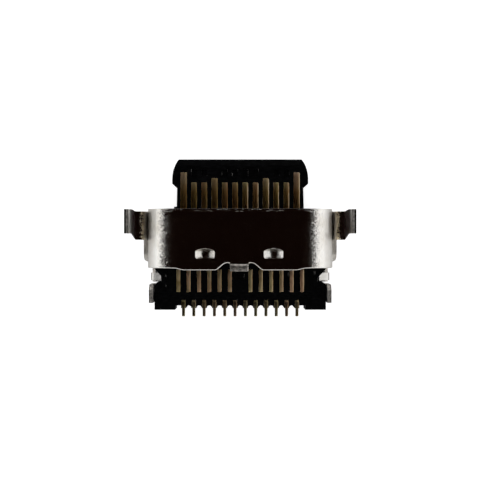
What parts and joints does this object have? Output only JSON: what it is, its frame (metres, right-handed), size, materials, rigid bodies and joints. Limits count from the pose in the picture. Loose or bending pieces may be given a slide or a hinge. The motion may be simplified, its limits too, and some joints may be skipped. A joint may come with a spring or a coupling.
{
  "type": "charging port",
  "caption": "Mid-mount charging port: round-ended nickel shell round a bare black contact tongue, saddle bracket with wings and board legs, and two rows of solder tails behind.",
  "frame": {"origin": "centre of the flat back of the bracket, under the middle of the overall box", "axes": "+X across the contact rows, +Y along the tongue towards the plug, +Z towards the circuit board side"},
  "size_m": [0.0112, 0.0076, 0.0034],
  "materials": {
    "shell_nickel": "satin nickel plate with a fine grain",
    "bracket_nickel": "satin nickel plate, bare and rough at the sheared ends",
    "black_moulding": "black moulded, semi-matt",
    "plate_steel": "bare stamped steel",
    "contact_gold": "dull thin gold plate, brown in shade"
  },
  "bodies": {
    "root": {"front_shell": "shell_nickel", "mount_bracket": "bracket_nickel", "tongue_mould": "black_moulding", "near_wafer": "black_moulding", "far_wafer": "black_moulding", "shield_plate": "plate_steel", "near_ground_plate": "plate_steel", "far_ground_plate": "plate_steel", "near_contact_1": "contact_gold", "near_contact_2": "contact_gold", "near_contact_3": "contact_gold", "near_contact_4": "contact_gold", "near_contact_5": "contact_gold", "near_contact_6": "contact_gold", "near_contact_7": "contact_gold", "near_contact_8": "contact_gold", "near_contact_9": "contact_gold", "near_contact_10": "contact_gold", "near_contact_11": "contact_gold", "near_contact_12": "contact_gold", "far_contact_1": "contact_gold", "far_contact_2": "contact_gold", "far_contact_3": "contact_gold", "far_contact_4": "contact_gold", "far_contact_5": "contact_gold", "far_contact_6": "contact_gold", "far_contact_7": "contact_gold", "far_contact_8": "contact_gold", "far_contact_9": "contact_gold", "far_contact_10": "contact_gold", "far_contact_11": "contact_gold", "far_contact_12": "contact_gold"}
  },
  "joints": []
}
